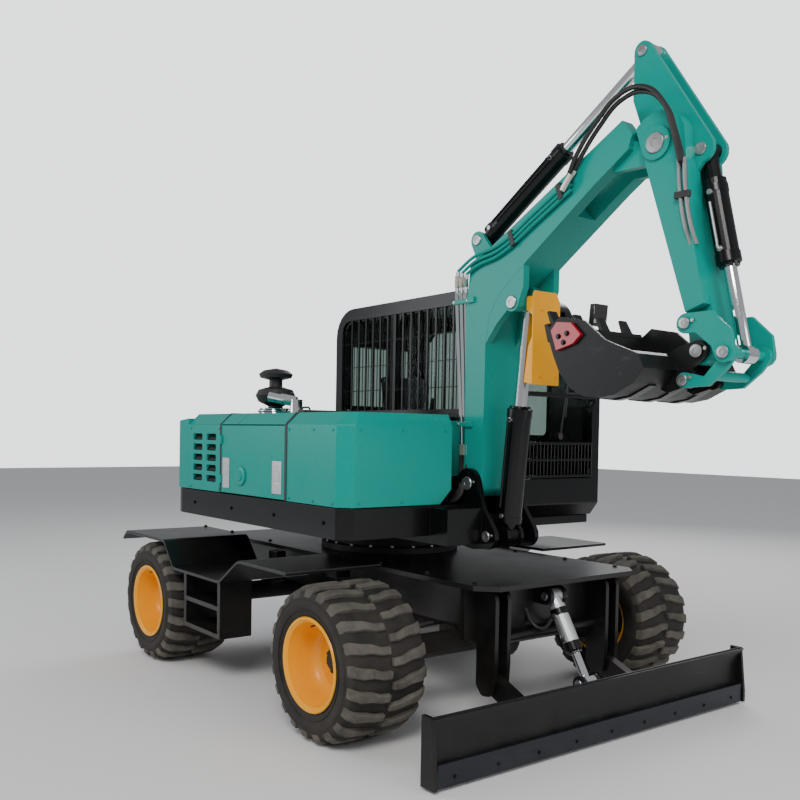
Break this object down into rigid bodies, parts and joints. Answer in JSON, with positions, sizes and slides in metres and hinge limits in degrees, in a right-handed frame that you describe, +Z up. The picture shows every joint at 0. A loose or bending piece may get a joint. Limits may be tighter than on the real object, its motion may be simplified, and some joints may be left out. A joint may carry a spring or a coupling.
{
  "type": "wheeled excavator",
  "caption": "Compact wheeled excavator with a teal body, black cab, yellow rims, raised digging arm and front dozer blade.",
  "frame": {"origin": "bottom centre of the machine's box, on the ground", "axes": "+X forward, towards the dozer blade; +Y to the machine's left, the cab side; +Z up"},
  "size_m": [3.8644, 2.56, 3.345],
  "materials": {
    "teal_paint": "gloss",
    "black_paint": "satin",
    "yellow_paint": "gloss",
    "red_paint": "gloss",
    "worn_steel": "matte",
    "chrome": "polished",
    "tyre_rubber": "matte",
    "glass": "clear",
    "black_plastic": "matte",
    "seat_fabric": "woven"
  },
  "bodies": {
    "base": {"chassis_frame": "black_paint", "blade_bracket": "black_paint", "slew_ring": "black_paint", "rear_axle": "worn_steel", "front_axle": "worn_steel", "drive_shafts": "worn_steel", "platform_right": "black_paint", "platform_left": "black_paint"},
    "knuckle_left_body": {"knuckle_left": "worn_steel"},
    "knuckle_right_body": {"knuckle_right": "worn_steel"},
    "tie_rod_body": {"tie_rod": "worn_steel"},
    "wheel_front_left": {"tyre_front_left": "tyre_rubber", "rim_front_left": "yellow_paint"},
    "wheel_front_right": {"tyre_front_right": "tyre_rubber", "rim_front_right": "yellow_paint"},
    "wheel_rear_left": {"tyre_rear_left": "tyre_rubber", "rim_rear_left": "yellow_paint"},
    "wheel_rear_right": {"tyre_rear_right": "tyre_rubber", "rim_rear_right": "yellow_paint"},
    "blade_body": {"blade_mouldboard": "black_paint", "blade_arms": "black_paint"},
    "blade_barrel_body": {"blade_cylinder_barrel": "black_paint"},
    "blade_rod_body": {"blade_cylinder_rod": "chrome"},
    "house": {"house_frame": "black_paint", "counterweight": "teal_paint", "louvre_panel": "teal_paint", "hood_top": "teal_paint", "front_cover": "teal_paint", "engine": "worn_steel", "pre_cleaner": "black_plastic", "exhaust_pipe": "chrome", "cab_frame": "black_paint", "windscreen": "glass", "rear_window": "glass", "right_window": "glass", "left_window": "glass", "side_guard": "black_paint", "mirror": "black_plastic", "seat": "seat_fabric", "controls": "black_plastic"},
    "service_door_body": {"service_door": "teal_paint"},
    "hood_lid_body": {"hood_lid": "teal_paint"},
    "cab_door_body": {"cab_door": "black_paint", "door_window": "glass"},
    "boom_body": {"boom": "teal_paint", "rod_guard": "yellow_paint"},
    "lift_barrel_body": {"lift_cylinder_barrel": "black_paint"},
    "lift_rod_body": {"lift_cylinder_rod": "chrome"},
    "stick_body": {"stick": "teal_paint"},
    "arm_barrel_body": {"arm_cylinder_barrel": "black_paint"},
    "arm_rod_body": {"arm_cylinder_rod": "chrome"},
    "bucket_body": {"bucket": "black_paint", "side_cutter_left": "red_paint", "side_cutter_right": "red_paint"},
    "rocker_body": {"rocker": "teal_paint"},
    "link_body": {"bucket_link": "teal_paint"},
    "bucket_barrel_body": {"bucket_cylinder_barrel": "black_paint"},
    "bucket_rod_body": {"bucket_cylinder_rod": "chrome"}
  },
  "joints": [
    {"name": "steer_left", "type": "hinge", "parent": "base", "child": "knuckle_left_body", "pos_m": [0.45284, 0.84, 0.385], "axis": [0, 0, 1], "range_deg": [-25, 25]},
    {"name": "steer_right", "type": "hinge", "parent": "base", "child": "knuckle_right_body", "pos_m": [0.45284, -0.84, 0.385], "axis": [0, 0, 1], "range_deg": [-26, 26]},
    {"name": "tie_rod_slide", "type": "slide", "parent": "base", "child": "tie_rod_body", "axis": [0, -1, 0], "range_m": [-0.066, 0.066]},
    {"name": "spin_front_left", "type": "hinge", "parent": "knuckle_left_body", "child": "wheel_front_left", "pos_m": [0.45284, 1.045, 0.385], "axis": [0, 1, 0], "continuous": true},
    {"name": "spin_front_right", "type": "hinge", "parent": "knuckle_right_body", "child": "wheel_front_right", "pos_m": [0.45284, -1.045, 0.385], "axis": [0, 1, 0], "continuous": true},
    {"name": "spin_rear_left", "type": "hinge", "parent": "base", "child": "wheel_rear_left", "pos_m": [-1.45716, 1.045, 0.385], "axis": [0, 1, 0], "continuous": true},
    {"name": "spin_rear_right", "type": "hinge", "parent": "base", "child": "wheel_rear_right", "pos_m": [-1.45716, -1.045, 0.385], "axis": [0, 1, 0], "continuous": true},
    {"name": "blade_lift", "type": "hinge", "parent": "base", "child": "blade_body", "pos_m": [0.83784, 0, 0.27], "axis": [0, -1, 0], "range_deg": [-8, 26]},
    {"name": "blade_barrel_swing", "type": "hinge", "parent": "base", "child": "blade_barrel_body", "pos_m": [0.85284, 0, 0.665], "axis": [0, -1, 0], "range_deg": [-3, 8]},
    {"name": "blade_rod_slide", "type": "slide", "parent": "blade_barrel_body", "child": "blade_rod_body", "axis": [0.5019, 0, -0.8649], "range_m": [-0.11, 0.04]},
    {"name": "slew", "type": "hinge", "parent": "base", "child": "house", "pos_m": [-0.53216, 0, 0.9], "axis": [0, 0, 1], "continuous": true},
    {"name": "service_door_hinge", "type": "hinge", "parent": "house", "child": "service_door_body", "pos_m": [-0.95816, -1.006, 1.117], "axis": [0, 0, -1], "range_deg": [0, 100]},
    {"name": "hood_lid_hinge", "type": "hinge", "parent": "house", "child": "hood_lid_body", "pos_m": [-0.53216, 0.19, 1.616], "axis": [-1, 0, 0], "range_deg": [0, 50]},
    {"name": "cab_door_hinge", "type": "hinge", "parent": "house", "child": "cab_door_body", "pos_m": [-0.76416, 1.0415, 1.06], "axis": [0, 0, 1], "range_deg": [0, 100]},
    {"name": "boom_lift", "type": "hinge", "parent": "house", "child": "boom_body", "pos_m": [0.36784, 0, 1.23], "axis": [0, -1, 0], "range_deg": [-60, 8]},
    {"name": "lift_barrel_swing", "type": "hinge", "parent": "house", "child": "lift_barrel_body", "pos_m": [0.52284, 0, 0.948], "axis": [0, -1, 0], "range_deg": [-52, 8]},
    {"name": "lift_rod_slide", "type": "slide", "parent": "lift_barrel_body", "child": "lift_rod_body", "axis": [0.0989, 0, 0.9951], "range_m": [-0.28, 0.05]},
    {"name": "stick_swing", "type": "hinge", "parent": "boom_body", "child": "stick_body", "pos_m": [1.51784, 0, 2.82], "axis": [0, 1, 0], "range_deg": [-52, 3]},
    {"name": "arm_barrel_swing", "type": "hinge", "parent": "boom_body", "child": "arm_barrel_body", "pos_m": [0.29784, 0, 2.6], "axis": [0, 1, 0], "range_deg": [-4, 4]},
    {"name": "arm_rod_slide", "type": "slide", "parent": "arm_barrel_body", "child": "arm_rod_body", "axis": [0.838, 0, 0.5457], "range_m": [-0.46, 0.04]},
    {"name": "bucket_curl", "type": "hinge", "parent": "stick_body", "child": "bucket_body", "pos_m": [1.72784, 0, 1.88], "axis": [0, 1, 0], "range_deg": [-130, 4]},
    {"name": "rocker_swing", "type": "hinge", "parent": "stick_body", "child": "rocker_body", "pos_m": [1.70484, 0, 1.997], "axis": [0, 1, 0], "range_deg": [-80, 4]},
    {"name": "link_swing", "type": "hinge", "parent": "bucket_body", "child": "link_body", "pos_m": [1.68384, 0, 1.754], "axis": [0, 1, 0], "range_deg": [-4, 72]},
    {"name": "bucket_barrel_swing", "type": "hinge", "parent": "stick_body", "child": "bucket_barrel_body", "pos_m": [1.68784, 0, 2.77], "axis": [0, 1, 0], "range_deg": [-8, 2]},
    {"name": "bucket_rod_slide", "type": "slide", "parent": "bucket_barrel_body", "child": "bucket_rod_body", "axis": [0.2151, 0, -0.9766], "range_m": [-0.28, 0.02]}
  ],
  "couplings": [
    {"joint": "steer_right", "follows": "steer_left", "ratio": 1},
    {"joint": "tie_rod_slide", "follows": "steer_left", "m_per_rad": 0.147},
    {"joint": "blade_barrel_swing", "follows": "blade_lift", "ratio": 0.24},
    {"joint": "blade_rod_slide", "follows": "blade_lift", "m_per_rad": -0.225},
    {"joint": "lift_barrel_swing", "follows": "boom_lift", "ratio": 0.85},
    {"joint": "lift_rod_slide", "follows": "boom_lift", "m_per_rad": 0.255},
    {"joint": "arm_barrel_swing", "follows": "stick_swing", "ratio": 0.04},
    {"joint": "arm_rod_slide", "follows": "stick_swing", "m_per_rad": 0.48},
    {"joint": "rocker_swing", "follows": "bucket_curl", "ratio": 0.59},
    {"joint": "link_swing", "follows": "bucket_curl", "ratio": -0.53},
    {"joint": "bucket_barrel_swing", "follows": "bucket_curl", "ratio": 0.045},
    {"joint": "bucket_rod_slide", "follows": "bucket_curl", "m_per_rad": 0.118}
  ]
}
